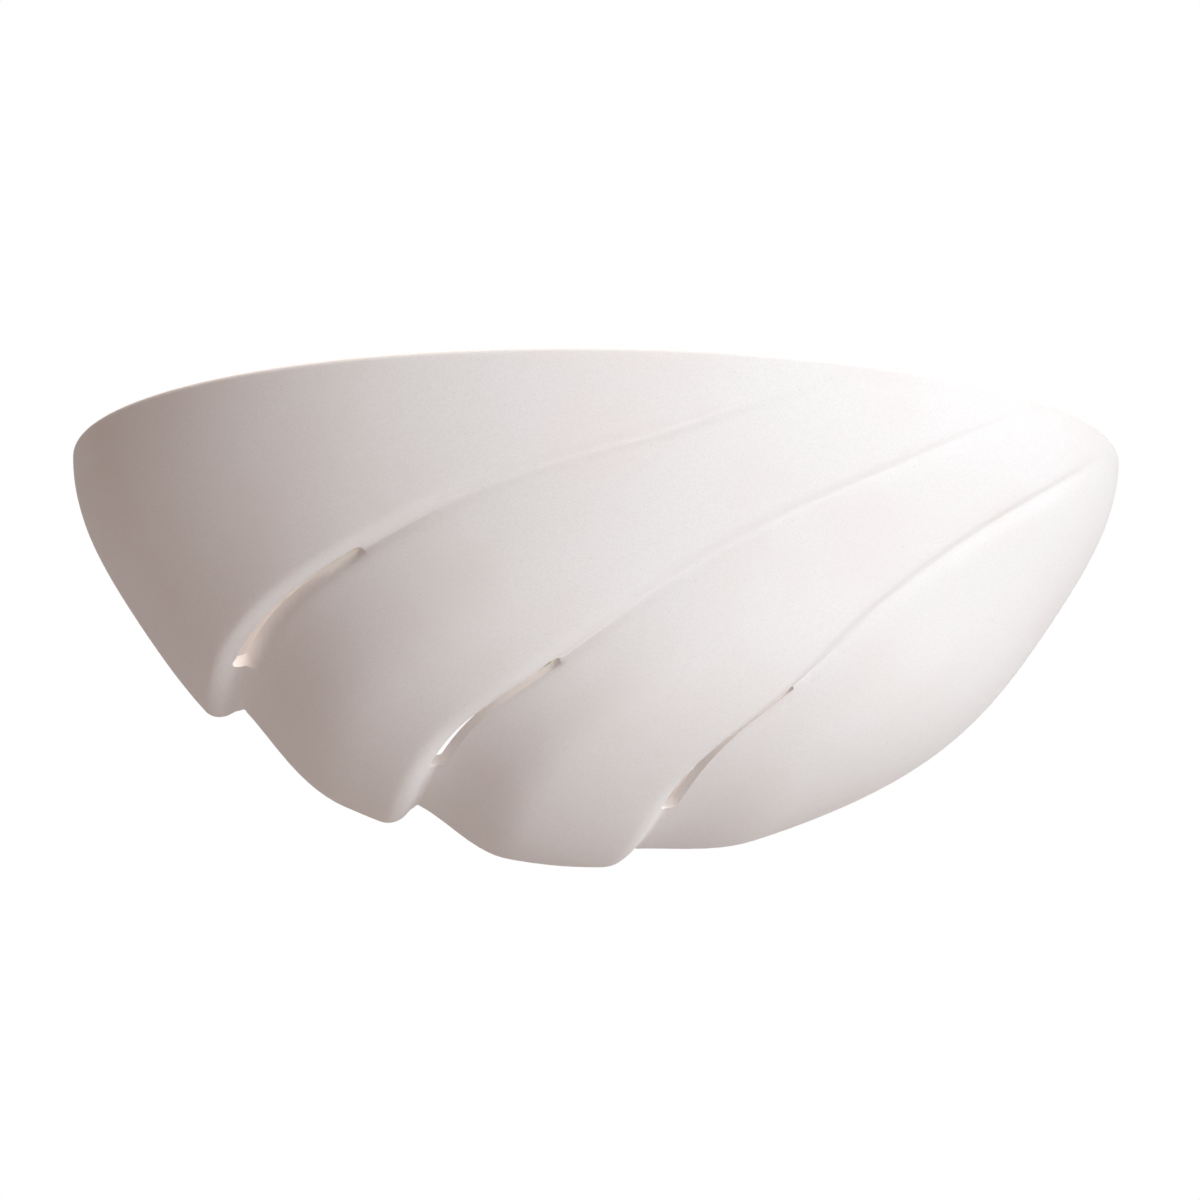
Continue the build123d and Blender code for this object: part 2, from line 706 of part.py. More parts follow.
with BuildPart() as lampholder_screws:
    with BuildSketch(Plane.YZ.offset(holder_floor_x)):
        for side in (-1, 1):
            with Locations((holder_y, holder_z + side * holder_screw_offset)):
                Circle(holder_screw_head_radius)
    extrude(amount=holder_screw_head_height)
    head_edges = lampholder_screws.edges().filter_by(GeomType.CIRCLE).group_by(Axis.X)[-1]
    fillet(head_edges, holder_screw_head_height / 3)
    with BuildSketch(Plane.YZ.offset(holder_floor_x + holder_screw_head_height)):
        for side in (-1, 1):
            with Locations((holder_y, holder_z + side * holder_screw_offset)):
                Rectangle(2 * holder_screw_head_radius, driver_slot_width)
    extrude(amount=-driver_slot_depth, mode=Mode.SUBTRACT)
    with BuildSketch(Plane.YZ.offset(bracket_side - bracket_thickness)):
        for side in (-1, 1):
            with Locations((holder_y, holder_z + side * holder_screw_offset)):
                Circle(holder_screw_radius)
    extrude(amount=holder_floor_x - bracket_side + bracket_thickness)
lampholder_screws.part.label = "lampholder_screws"
export_step(lampholder_screws.part, "parts/lampholder_screws.step")

terminal_back_x = holder_face_x - terminal_length
wire_hole_x = terminal_back_x + terminal_size / 2

with BuildPart() as lampholder_terminals:
    for side in (-1, 1):
        with BuildSketch(Plane.YZ.offset(terminal_back_x)):
            with Locations((holder_y + side * terminal_offset, holder_z)):
                Rectangle(terminal_size, terminal_height)
        extrude(amount=terminal_length)
    chamfer(lampholder_terminals.edges().filter_by(Axis.Z), terminal_size / 16)
    with BuildSketch(Plane.XY.offset(holder_z - terminal_height / 2)):
        for side in (-1, 1):
            with Locations((wire_hole_x, holder_y + side * terminal_offset)):
                Circle(core_radius + fit_gap * 2)
    extrude(amount=core_length + fit_gap, mode=Mode.SUBTRACT)
lampholder_terminals.part.label = "lampholder_terminals"
export_step(lampholder_terminals.part, "parts/lampholder_terminals.step")

with BuildPart() as terminal_clamp_screws:
    with BuildSketch(Plane.YZ.offset(terminal_back_x)):
        for side in (-1, 1):
            with Locations((holder_y + side * terminal_offset, holder_z)):
                Circle(terminal_screw_head_radius)
    extrude(amount=-terminal_screw_radius)
    with BuildSketch(Plane.YZ.offset(terminal_back_x - terminal_screw_radius)):
        for side in (-1, 1):
            with Locations((holder_y + side * terminal_offset, holder_z)):
                Rectangle(4 * terminal_screw_radius, driver_slot_width)
    extrude(amount=driver_slot_depth, mode=Mode.SUBTRACT)
terminal_clamp_screws.part.label = "terminal_clamp_screws"
export_step(terminal_clamp_screws.part, "parts/terminal_clamp_screws.step")


# ---------------------------------------------------------------- lamp
cap_end_x = lamp_tip_x + lamp_contact_height + insulator_length + lamp_cap_length
cap_start_x = cap_end_x - lamp_cap_length
glass_centre_x = lamp_end_x - lamp_glass_radius
neck_blend_x = glass_centre_x - lamp_glass_radius * lamp_shoulder
neck_end_x = cap_end_x - seat_gap
neck_end_radius = lamp_neck_radius - lamp_cap_sheet

with BuildPart() as lamp_glass:
    with BuildSketch(holder_plane):
        with BuildLine():
            bulb_arc = CenterArc((glass_centre_x, 0), lamp_glass_radius, 0, lamp_ball_sweep)
            Spline(
                bulb_arc @ 1,
                (neck_blend_x, lamp_neck_radius + lamp_neck_flare),
                (neck_end_x, neck_end_radius),
                tangents=[bulb_arc % 1, (-1, -0.06)],
            )
            Line((neck_end_x, neck_end_radius), (neck_end_x, 0))
            Line((neck_end_x, 0), (lamp_end_x, 0))
        make_face()
    revolve(axis=holder_axis)
    neck_face = lamp_glass.faces().filter_by(GeomType.PLANE)
    offset(amount=-lamp_glass_wall, openings=neck_face, mode=Mode.REPLACE)
lamp_glass.part.label = "lamp_glass"
export_step(lamp_glass.part, "parts/lamp_glass.step")

first_ring_x = cap_start_x + lamp_cap_foot
cap_outer, cap_inner = screw_shell_profile(first_ring_x, lamp_cap_radius, cap_rings, lamp_cap_sheet)
with BuildPart() as lamp_cap:
    with BuildSketch(holder_plane):
        with BuildLine():
            Spline(*cap_outer)
            Line(cap_outer[-1], (cap_end_x, lamp_neck_radius + lamp_cap_sheet))
            Line((cap_end_x, lamp_neck_radius + lamp_cap_sheet), (cap_end_x, lamp_neck_radius))
            Line((cap_end_x, lamp_neck_radius), cap_inner[-1])
            Spline(*cap_inner)
            Polyline(
                cap_inner[0],
                (cap_start_x + lamp_cap_sheet, insulator_tip_radius + 2),
                (cap_start_x + lamp_cap_sheet, insulator_tip_radius + 1),
                (cap_start_x, insulator_tip_radius + 1),
                (cap_start_x, insulator_tip_radius + 2),
                cap_outer[0],
            )
        make_face()
    revolve(axis=holder_axis)
lamp_cap.part.label = "lamp_cap"
export_step(lamp_cap.part, "parts/lamp_cap.step")

with BuildPart() as lamp_insulator:
    with BuildSketch(holder_plane):
        with BuildLine():
            Polyline(
                (cap_start_x + lamp_cap_sheet, 0),
                (cap_start_x + lamp_cap_sheet, insulator_tip_radius + 1 - fit_gap),
                (cap_start_x, insulator_tip_radius + 1 - fit_gap),
                (cap_start_x - insulator_length, insulator_tip_radius),
                (cap_start_x - insulator_length, 0),
                close=True,
            )
        make_face()
    revolve(axis=holder_axis)
lamp_insulator.part.label = "lamp_insulator"
export_step(lamp_insulator.part, "parts/lamp_insulator.step")

with BuildPart() as lamp_contact:
    with BuildSketch(Plane.YZ.offset(cap_start_x - insulator_length)):
        with Locations((holder_y, holder_z)):
            Circle(lamp_contact_radius)
    extrude(amount=-lamp_contact_height)
    fillet(lamp_contact.edges().filter_by(GeomType.CIRCLE).group_by(Axis.X)[0], lamp_contact_height * 0.8)
lamp_contact.part.label = "lamp_contact"
export_step(lamp_contact.part, "parts/lamp_contact.step")

stem_end_x = neck_end_x + stem_length
flare_radius = neck_end_radius - lamp_glass_wall - fit_gap
with BuildPart() as lamp_stem:
    with BuildSketch(holder_plane):
        with BuildLine():
            Polyline(
                (neck_end_x, 0),
                (neck_end_x, flare_radius),
                (neck_end_x + stem_radius / 2, flare_radius),
                (neck_end_x + 2 * stem_radius, stem_radius),
                (stem_end_x - stem_radius, stem_radius / 2),
                (stem_end_x, stem_radius / 2),
                (stem_end_x, 0),
                close=True,
            )
        make_face()
    revolve(axis=holder_axis)
lamp_stem.part.label = "lamp_stem"
export_step(lamp_stem.part, "parts/lamp_stem.step")

with BuildPart() as lamp_leads:
    for side in (-1, 1):
        with BuildLine(holder_plane) as lead_line:
            FilletPolyline(
                (stem_end_x - stem_radius, side * (stem_radius / 2 + lead_radius)),
                (stem_end_x + stem_radius / 2, side * (stem_radius / 2 + lead_radius)),
                (stem_end_x + lead_length, side * lead_spread),
                radius=stem_radius / 2,
            )
        with BuildSketch(Plane(lead_line.line @ 0, z_dir=lead_line.line % 0)):
            Circle(lead_radius)
        sweep(path=lead_line.line)
lamp_leads.part.label = "lamp_leads"
export_step(lamp_leads.part, "parts/lamp_leads.step")

filament_x = stem_end_x + lead_length + lead_radius + filament_radius
with BuildPart() as lamp_filament:
    with BuildLine(holder_plane) as filament_line:
        ThreePointArc((filament_x, -lead_spread), (filament_x + filament_bow, 0), (filament_x, lead_spread))
    with BuildSketch(Plane(filament_line.line @ 0, z_dir=filament_line.line % 0)):
        Circle(filament_radius)
    sweep(path=filament_line.line)
lamp_filament.part.label = "lamp_filament"
export_step(lamp_filament.part, "parts/lamp_filament.step")


# ---------------------------------------------------------------- terminal block
block_left = block_x - block_depth / 2
block_length = 3 * block_pitch
way_heights = [block_z + way * block_pitch for way in (1, 0, -1)]
live_z, earth_z, neutral_z = way_heights
block_base = block_rise / 3          # the low web that joins the three ways
screw_ways = [(block_x + side * insert_length / 4, height) for height in way_heights for side in (-1, 1)]

with BuildPart() as terminal_block:
    with BuildSketch(Plane.XZ.offset(plate_thickness)):
        with Locations((block_x, block_z)):
            Rectangle(block_depth, block_length)
    extrude(amount=block_base)
    for height in way_heights:
        with BuildSketch(Plane.XZ.offset(plate_thickness)):
            with Locations((block_x, height)):
                Rectangle(block_depth, block_pitch - 2 * block_rib)
        extrude(amount=block_rise)
    fillet(terminal_block.edges().filter_by(Axis.X).group_by(Axis.Y)[0], block_rib)
    with BuildSketch(Plane.YZ.offset(block_left)):
        for height in way_heights:
            with Locations((wire_y, height)):
                Circle(insert_radius + fit_gap)
    extrude(amount=block_depth, mode=Mode.SUBTRACT)
    with BuildSketch(Plane.XZ.offset(-wire_y)):
        with Locations(*screw_ways):
            Circle(way_screw_radius + 2 * fit_gap)
    extrude(amount=block_rise, mode=Mode.SUBTRACT)
    with BuildSketch(Plane.XZ.offset(plate_thickness)):
        with Locations((block_x, block_z + block_pitch / 2)):
            Circle(block_screw_radius + fit_gap)
    extrude(amount=block_rise, mode=Mode.SUBTRACT)
    with BuildSketch(Plane.XZ.offset(plate_thickness + block_base)):
        with Locations((block_x, block_z + block_pitch / 2)):
            Circle(block_screw_head_radius + fit_gap)
    extrude(amount=block_rise, mode=Mode.SUBTRACT)
terminal_block.part.label = "terminal_block"
export_step(terminal_block.part, "parts/terminal_block.step")

with BuildPart() as terminal_inserts:
    for height in way_heights:
        with BuildSketch(Plane.YZ.offset(block_x - insert_length / 2)):
            with Locations((wire_y, height)):
                Circle(insert_radius)
                Circle(insert_bore_radius, mode=Mode.SUBTRACT)
        extrude(amount=insert_length)
terminal_inserts.part.label = "terminal_inserts"
export_step(terminal_inserts.part, "parts/terminal_inserts.step")

way_screw_foot = -wire_y + insert_radius + fit_gap
with BuildPart() as terminal_screws:
    with BuildSketch(Plane.XZ.offset(way_screw_foot)):
        with Locations(*screw_ways):
            Circle(way_screw_radius)
    extrude(amount=way_screw_length)
    with BuildSketch(Plane.XZ.offset(way_screw_foot + way_screw_length)):
        with Locations(*screw_ways):
            Rectangle(2 * way_screw_radius, driver_slot_width)
    extrude(amount=-driver_slot_depth / 2, mode=Mode.SUBTRACT)
terminal_screws.part.label = "terminal_screws"
export_step(terminal_screws.part, "parts/terminal_screws.step")

with BuildPart() as block_screw:
    with BuildSketch(Plane.XZ.offset(fit_gap)):
        with Locations((block_x, block_z + block_pitch / 2)):
            Circle(block_screw_radius)
    extrude(amount=plate_thickness + block_base)
    with BuildSketch(Plane.XZ.offset(plate_thickness + block_base)):
        with Locations((block_x, block_z + block_pitch / 2)):
            Circle(block_screw_head_radius)
    extrude(amount=block_screw_radius)
block_screw.part.label = "block_screw"
export_step(block_screw.part, "parts/block_screw.step")


# ---------------------------------------------------------------- earth stud
earth_washer_front = plate_front - earth_washer_thickness
earth_ring_front = earth_washer_front - earth_ring_thickness
barrel_y = earth_washer_front - earth_barrel_radius
barrel_start = earth_x + earth_ring_radius + earth_barrel_radius / 2
barrel_end = barrel_start + earth_barrel_length

with BuildPart() as earth_washer:
    with BuildSketch(Plane.XZ.offset(plate_thickness)):
        with Locations((earth_x, block_z)):
            Circle(earth_washer_radius)
            Circle(earth_screw_radius + fit_gap, mode=Mode.SUBTRACT)
    extrude(amount=earth_washer_thickness)
earth_washer.part.label = "earth_washer"
export_step(earth_washer.part, "parts/earth_washer.step")

with BuildPart() as earth_tag:
    with BuildSketch(Plane.XZ.offset(-earth_washer_front)):
        with Locations((earth_x, block_z)):
            Circle(earth_ring_radius)
        with Locations((earth_x + earth_ring_radius, block_z)):
            Rectangle(2 * earth_ring_radius, earth_barrel_radius * 2)
        with Locations((earth_x, block_z)):
            Circle(earth_screw_radius + fit_gap, mode=Mode.SUBTRACT)
    extrude(amount=earth_ring_thickness)
    with BuildSketch(Plane.YZ.offset(barrel_start)):
        with Locations((barrel_y, block_z)):
            Circle(earth_barrel_radius)
    extrude(amount=earth_barrel_length)
    with BuildSketch(Plane.YZ.offset(barrel_end)):
        with Locations((barrel_y, block_z)):
            Circle(wire_radius + fit_gap)
    extrude(amount=-earth_barrel_length * 0.6, mode=Mode.SUBTRACT)
earth_tag.part.label = "earth_tag"
export_step(earth_tag.part, "parts/earth_tag.step")

with BuildPart() as earth_screw:
    with BuildSketch(Plane.XZ.offset(fit_gap)):
        with Locations((earth_x, block_z)):
            Circle(earth_screw_radius)
    extrude(amount=-earth_ring_front - fit_gap)
    with BuildSketch(Plane.XZ.offset(-earth_ring_front)):
        with Locations((earth_x, block_z)):
            Circle(earth_screw_head_radius)
    extrude(amount=earth_screw_head_height)
    fillet(earth_screw.edges().filter_by(GeomType.CIRCLE).group_by(Axis.Y)[0], earth_screw_head_height / 3)
    with BuildSketch(Plane.XZ.offset(earth_screw_head_height - earth_ring_front)):
        with Locations((earth_x, block_z)):
            Rectangle(2 * earth_screw_head_radius, driver_slot_width)
    extrude(amount=-driver_slot_depth, mode=Mode.SUBTRACT)
earth_screw.part.label = "earth_screw"
export_step(earth_screw.part, "parts/earth_screw.step")


# ---------------------------------------------------------------- leads held inside the fitting
lead_start_x = block_left - fit_gap
terminal_foot_z = holder_z - terminal_height / 2


def lead(points, radii, start_core, end_core):
    """An insulated lead along its route, with a bare core at each end."""
    with BuildPart() as wire:
        with BuildLine() as route:
            FilletPolyline(*points, radius=radii)
        path = route.line
        with BuildSketch(Plane(path @ 0, z_dir=path % 0)):
            Circle(wire_radius)
        sweep(path=path)
        ends = [(path @ 0, (path % 0) * -1, start_core), (path @ 1, path % 1, end_core)]
        for place, direction, length in ends:
            with BuildSketch(Plane(place, z_dir=direction)):
                Circle(core_radius)
            extrude(amount=length)
    run = sum(edge.length for edge in path.edges())
    sections = pi * (wire_radius ** 2 * run + core_radius ** 2 * (start_core + end_core))
    print("lead", round(run, 1), "mm long, volume", round(wire.part.volume, 1), "of", round(sections, 1))
    return wire.part


wires = [
    ("live_wire", live_z, holder_y + terminal_offset),
    ("neutral_wire", neutral_z, holder_y - terminal_offset),
]
for wire_name, way_z, end_y in wires:
    route_points = [
        (lead_start_x, wire_y, way_z),
        (wire_hole_x, wire_y, way_z),
        (wire_hole_x, end_y, way_z),
        (wire_hole_x, end_y, terminal_foot_z - fit_gap),
    ]
    wire_part = lead(route_points, [wire_bend, wire_bend * 0.7], core_length, core_length)
    wire_part.label = wire_name
    export_step(wire_part, "parts/" + wire_name + ".step")

earth_wire_part = lead(
    [
        (lead_start_x, wire_y, earth_z),
        (block_left - wire_bend, wire_y, earth_z),
        (barrel_end + wire_bend * 0.8, barrel_y, earth_z),
        (barrel_end - earth_barrel_length * 0.5, barrel_y, earth_z),
    ],
    [wire_bend, wire_bend],
    core_length,
    core_stub,
)
earth_wire_part.label = "earth_wire"
export_step(earth_wire_part, "parts/earth_wire.step")
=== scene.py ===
import math

import bpy
from bpy.props import FloatProperty, FloatVectorProperty, IntProperty, PointerProperty
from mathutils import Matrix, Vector


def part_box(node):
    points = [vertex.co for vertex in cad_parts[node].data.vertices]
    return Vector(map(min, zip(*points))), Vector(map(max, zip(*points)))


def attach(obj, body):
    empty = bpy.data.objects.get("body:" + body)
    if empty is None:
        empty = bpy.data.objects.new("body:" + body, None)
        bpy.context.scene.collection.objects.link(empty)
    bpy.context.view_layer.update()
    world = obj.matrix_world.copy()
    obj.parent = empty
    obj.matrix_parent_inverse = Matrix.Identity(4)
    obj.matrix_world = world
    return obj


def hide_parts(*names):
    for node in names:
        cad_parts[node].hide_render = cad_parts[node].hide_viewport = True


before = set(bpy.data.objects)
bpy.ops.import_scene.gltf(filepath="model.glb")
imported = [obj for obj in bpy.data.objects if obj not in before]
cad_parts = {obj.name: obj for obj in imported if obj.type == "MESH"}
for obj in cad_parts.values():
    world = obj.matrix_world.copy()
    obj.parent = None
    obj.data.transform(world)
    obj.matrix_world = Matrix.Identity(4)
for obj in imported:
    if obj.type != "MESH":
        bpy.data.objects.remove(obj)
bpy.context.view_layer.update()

# Shell wall sconce: the finish of a ceramic half bowl of four petals, its wall plate and its lamp.
# Metres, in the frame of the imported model: +Z up, the front faces -Y, the wall is the plane Y = 0.

bl_info = {
    "name": "Shell Wall Sconce",
    "version": (1, 0, 0),
    "blender": (4, 5, 0),
    "location": "View3D > Sidebar > Sconce",
    "description": "Finishes a ceramic half-bowl wall light round its fixed frame",
    "category": "Object",
}

MM = 0.001

# The Mix node's colour sockets, by number because its other sockets have the same names.
MIX_FIRST, MIX_SECOND, MIX_RESULT = 6, 7, 2


# ------------------------------------------------------- sizes and colours a user would change
class SconceColours(bpy.types.PropertyGroup):
    """Base colours of the sconce's finishes."""

    bisque: FloatVectorProperty(
        name="Bisque", description="Matt unglazed ceramic", subtype="COLOR",
        default=(0.900, 0.868, 0.860),
    )
    # This colour also tints the painted warm light under the rim and, darkened, the painted shade in
    # the pits.
    bisque_blush: FloatVectorProperty(
        name="Bisque blush", description="Warmer patches in the bisque", subtype="COLOR",
        default=(0.892, 0.830, 0.815),
    )
    paint: FloatVectorProperty(
        name="Plate paint", description="Powder paint of the plate and bracket", subtype="COLOR",
        default=(0.80, 0.80, 0.77),
    )
    zinc: FloatVectorProperty(
        name="Zinc", description="Zinc plate", subtype="COLOR", default=(0.66, 0.67, 0.68),
    )
    brass: FloatVectorProperty(
        name="Brass", description="Bare brass", subtype="COLOR", default=(0.76, 0.56, 0.26),
    )
    nickel: FloatVectorProperty(
        name="Nickel", description="Nickel plate", subtype="COLOR", default=(0.72, 0.70, 0.66),
    )
    rubber: FloatVectorProperty(
        name="Rubber", description="Grommet rubber", subtype="COLOR",
        default=(0.022, 0.022, 0.024),
    )
    porcelain: FloatVectorProperty(
        name="Porcelain", description="Glazed lampholder", subtype="COLOR",
        default=(0.86, 0.85, 0.81),
    )
    live: FloatVectorProperty(
        name="Live", description="Brown lead", subtype="COLOR", default=(0.16, 0.055, 0.022),
    )
    neutral: FloatVectorProperty(
        name="Neutral", description="Blue lead", subtype="COLOR", default=(0.02, 0.11, 0.42),
    )
    earth: FloatVectorProperty(
        name="Earth", description="Green lead", subtype="COLOR", default=(0.04, 0.25, 0.05),
    )


class SconceSizes(bpy.types.PropertyGroup):
    """Sizes of the finish and of the filament's coil."""

    grain: FloatProperty(
        name="Grain", description="Size of the bisque's grain", unit="LENGTH", default=0.75 * MM,
    )
    grain_height: FloatProperty(
        name="Grain height", description="Depth of the bisque's grain", unit="LENGTH",
        default=0.10 * MM,
    )
    coil_radius: FloatProperty(
        name="Coil radius", description="Radius of the filament's coil", unit="LENGTH",
        default=0.42 * MM,
    )
    coil_wire: FloatProperty(
        name="Coil wire", description="Radius of the filament's wire", unit="LENGTH",
        default=0.11 * MM,
    )
    coil_turns: IntProperty(name="Coil turns", description="Turns of the filament", default=46)


class SconceStudio(bpy.types.PropertyGroup):
    """Camera and light."""

    camera_distance: FloatProperty(
        name="Camera distance", description="From the camera to the middle of the bowl",
        unit="LENGTH", default=2.5,
    )
    camera_side: FloatProperty(
        name="Camera side", description="Turn to the right", subtype="ANGLE",
        default=math.radians(0.81),
    )
    camera_rise: FloatProperty(
        name="Camera rise", description="How steeply the view looks up", subtype="ANGLE",
        default=math.radians(13.98),
    )
    key_strength: FloatProperty(
        name="Key", description="Strength of the light from the right", default=2.92,
    )
    key_side: FloatProperty(
        name="Key side", description="Turn of that light to the right", subtype="ANGLE",
        default=math.radians(45),
    )
    key_spread: FloatProperty(
        name="Key spread", description="How wide that light seems", subtype="ANGLE",
        default=math.radians(40),
    )
    top_strength: FloatProperty(
        name="Top", description="Strength of the light from straight above", default=0.45,
    )
    bowl_power: FloatProperty(
        name="Bowl", description="Power of the lamp over the bowl, in watts", default=1.1,
    )
    room_light: FloatProperty(
        name="Room light", description="Strength of the room's own light", default=0.29,
    )


# ------------------------------------------------------- shader helpers
class Socket:
    """A node's output that can be used in sums."""

    def __init__(self, finish, output):
        self.finish = finish
        self.output = output

    def maths(self, operation, other, swapped=False):
        values = {0: other, 1: self} if swapped else {0: self, 1: other}
        return self.finish.add("ShaderNodeMath", {"operation": operation}, values)

    def __add__(self, other):
        return self.maths("ADD", other)

    __radd__ = __add__

    def __mul__(self, other):
        return self.maths("MULTIPLY", other)

    __rmul__ = __mul__

    def __sub__(self, other):
        return self.maths("SUBTRACT", other)

    def __rsub__(self, other):
        return self.maths("SUBTRACT", other, swapped=True)

    def __gt__(self, other):
        return self.maths("GREATER_THAN", other)

    def __lt__(self, other):
        return self.maths("LESS_THAN", other)


class Finish:
    """A material in the making: its nodes, its shader, and the place on the object in metres."""

    def __init__(self, name, **constants):
        self.material = bpy.data.materials.new(name)
        self.material.use_nodes = True
        self.tree = self.material.node_tree
        self.shader = self.tree.nodes["Principled BSDF"]
        self.set(**constants)
        self.place = self.add("ShaderNodeTexCoord", output="Object")

    def add(self, kind, settings=None, values=None, output=0):
        """A node of any type, with its settings made first, then its sockets' values or links."""
        node = self.tree.nodes.new(kind)
        for name, setting in (settings or {}).items():
            setattr(node, name, setting)
        for key, value in (values or {}).items():
            self.feed(node.inputs[key], value)
        return Socket(self, node.outputs[output])

    def feed(self, target, value):
        """Links a socket to another, or sets its value, where a colour's alpha is 1."""
        if isinstance(value, Socket):
            self.tree.links.new(value.output, target)
        elif hasattr(target.default_value, "__len__"):
            missing = len(target.default_value) - len(value)
            target.default_value = tuple(value) + (1.0,) * missing
        else:
            target.default_value = value

    def set(self, **values):
        """Feeds the shader's own sockets, as in set(base_color=...)."""
        for words, value in values.items():
            socket = words.replace("_", " ").title().replace("Ior", "IOR")
            self.feed(self.shader.inputs[socket], value)

    def noise(self, size, detail, stretch=(1, 1, 1)):
        """Soft noise from 0 to 1, its blots about so many metres across."""
        place = self.place
        if stretch != (1, 1, 1):
            place = self.add("ShaderNodeMapping", values={"Vector": place, "Scale": stretch})
        return self.add(
            "ShaderNodeTexNoise", values={"Vector": place, "Scale": 1 / size, "Detail": detail}
        )

    def dots(self, size):
        """Distance from 0 to about 1 from points scattered about so many metres apart."""
        return self.add("ShaderNodeTexVoronoi", values={"Vector": self.place, "Scale": 1 / size})

    def spread(self, value, low, high, to_low=0.0, to_high=1.0, way="SMOOTHSTEP"):
        """A value from low to high, drawn out to another range and held at its ends."""
        ends = {"From Min": low, "From Max": high, "To Min": to_low, "To Max": to_high}
        return self.add(
            "ShaderNodeMapRange", {"interpolation_type": way}, {"Value": value, **ends}
        )

    def mix(self, factor, first, second):
        """A colour between two."""
        values = {"Factor": factor, MIX_FIRST: first, MIX_SECOND: second}
        return self.add("ShaderNodeMix", {"data_type": "RGBA"}, values, output=MIX_RESULT)

    def axis(self, letter):
        """How far along X, Y or Z of the object, in metres."""
        return self.add("ShaderNodeSeparateXYZ", values={"Vector": self.place}, output=letter)

    def away(self):
        """How far from the object's origin, in metres."""
        return self.add(
            "ShaderNodeVectorMath", {"operation": "LENGTH"}, {0: self.place}, output="Value"
        )

    def bumps(self, height, distance, strength):
        """Relief so many metres deep, by a height from 0 to 1."""
        values = {"Height": height, "Distance": distance, "Strength": strength}
        self.set(normal=self.add("ShaderNodeBump", values=values))


def tinted(colour, factor):
    """A colour made lighter or darker."""
    return tuple(min(1.0, part * factor) for part in colour)


def seen_directly(tree):
    """1 for what the camera sees, also in metal or through glass, 0 for light on the object."""
    rays = tree.nodes.new("ShaderNodeLightPath")
    seen = rays.outputs["Is Camera Ray"]
    for name in ("Is Glossy Ray", "Is Transmission Ray"):
        either = tree.nodes.new("ShaderNodeMath")
        either.operation = "MAXIMUM"
        tree.links.new(seen, either.inputs[0])
        tree.links.new(rays.outputs[name], either.inputs[1])
        seen = either.outputs[0]
    return seen


def end_in_mix(tree, output, share, first, second):
    """Ends a node tree in a mix of two shaders, with so large a share of the second."""
    blend = tree.nodes.new("ShaderNodeMixShader")
    for source, target in zip((share, first, second), blend.inputs):
        tree.links.new(source, target)
    tree.links.new(blend.outputs[0], tree.nodes[output].inputs["Surface"])


# ------------------------------------------------------- finishes
def bisque():
    """Matt unglazed ceramic: fine grain, warm and cool clouding, a few pits with painted shade,
    painted warm light under the rim.
    """
    scene = bpy.context.scene
    sizes = scene.sconce_sizes
    pale, blush = scene.sconce_colours.bisque, scene.sconce_colours.bisque_blush
    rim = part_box("ceramic_shell")[1].z
    finish = Finish("bisque", specular_ior_level=0.32)
    grain = finish.noise(sizes.grain, detail=3)
    speckle = finish.noise(0.35 * MM, detail=2)
    clouds = finish.noise(46 * MM, detail=3)
    ripple = finish.noise(9 * MM, detail=1)
    pits = finish.dots(5.5 * MM) < 0.045
    # Painted light: a warm band just under the rim, standing in for light from above on the rim's
    # rounding.
    rim_light_band = finish.spread(finish.axis("Z"), rim - 15 * MM, rim - 4 * MM)
    # Warm and cool clouding is the bisque's own tone; the rim band added to it is painted warm
    # light.
    blush_and_rim_light = finish.spread(clouds + rim_light_band * 0.12, 0.44, 0.72) * 0.75
    colour = finish.mix(blush_and_rim_light, pale, blush)
    colour = finish.mix(finish.spread(grain, 0.38, 0.66) * 0.50, colour, tinted(pale, 0.92))
    colour = finish.mix(finish.spread(speckle, 0.56, 0.68) * 0.50, colour, tinted(pale, 0.84))
    # Painted shade: the pits' colour is darkened, standing in for shade in these recesses.
    colour = finish.mix(pits * 0.45, colour, tinted(blush, 0.70))
    finish.set(base_color=colour, roughness=finish.spread(clouds, 0.3, 0.7, 0.86, 0.95))
    finish.bumps(grain * 0.6 + ripple * 0.9 - pits * 1.2, sizes.grain_height, strength=0.55)
    return finish.material


def powder_paint():
    """White powder paint with its orange peel, rubbed a little here and there."""
    paint = bpy.context.scene.sconce_colours.paint
    finish = Finish("powder_paint")
    peel = finish.noise(1.3 * MM, detail=1)
    dust = finish.noise(22 * MM, detail=4)
    rubs = finish.noise(7 * MM, detail=5, stretch=(1, 1, 4))
    colour = finish.mix(finish.spread(dust, 0.42, 0.75) * 0.5, paint, tinted(paint, 0.88))
    colour = finish.mix(finish.spread(rubs, 0.62, 0.75) * 0.35, colour, tinted(paint, 0.70))
    finish.set(base_color=colour, roughness=finish.spread(dust, 0.3, 0.7, 0.36, 0.52))
    finish.bumps(peel, 0.05 * MM, strength=0.5)
    return finish.material


def plated(name, colour, smoothest, roughest, tarnish, lines):
    """Plated or bare metal: drawn lines, clouded roughness and some tarnish."""
    finish = Finish(name, metallic=1.0)
    drawn = finish.noise(1.6 * MM, detail=4, stretch=lines)
    clouds = finish.noise(6 * MM, detail=4)
    mixed = finish.mix(finish.spread(clouds, 0.45, 0.75) * 0.7, colour, tarnish)
    mixed = finish.mix(finish.spread(drawn, 0.35, 0.7) * 0.25, mixed, tinted(colour, 0.8))
    finish.set(base_color=mixed, roughness=finish.spread(drawn, 0.3, 0.7, smoothest, roughest))
    finish.bumps(drawn, 0.02 * MM, strength=0.4)
    return finish.material


def zinc():
    """Bright zinc plate with a faint yellow bloom."""
    return plated(
        "zinc_plate", bpy.context.scene.sconce_colours.zinc, smoothest=0.26, roughest=0.42,
        tarnish=(0.60, 0.58, 0.50), lines=(1, 1, 9),
    )


def brass():
    """Bare brass, browned in places."""
    return plated(
        "bare_brass", bpy.context.scene.sconce_colours.brass, smoothest=0.24, roughest=0.42,
        tarnish=(0.50, 0.33, 0.15), lines=(1, 1, 9),
    )


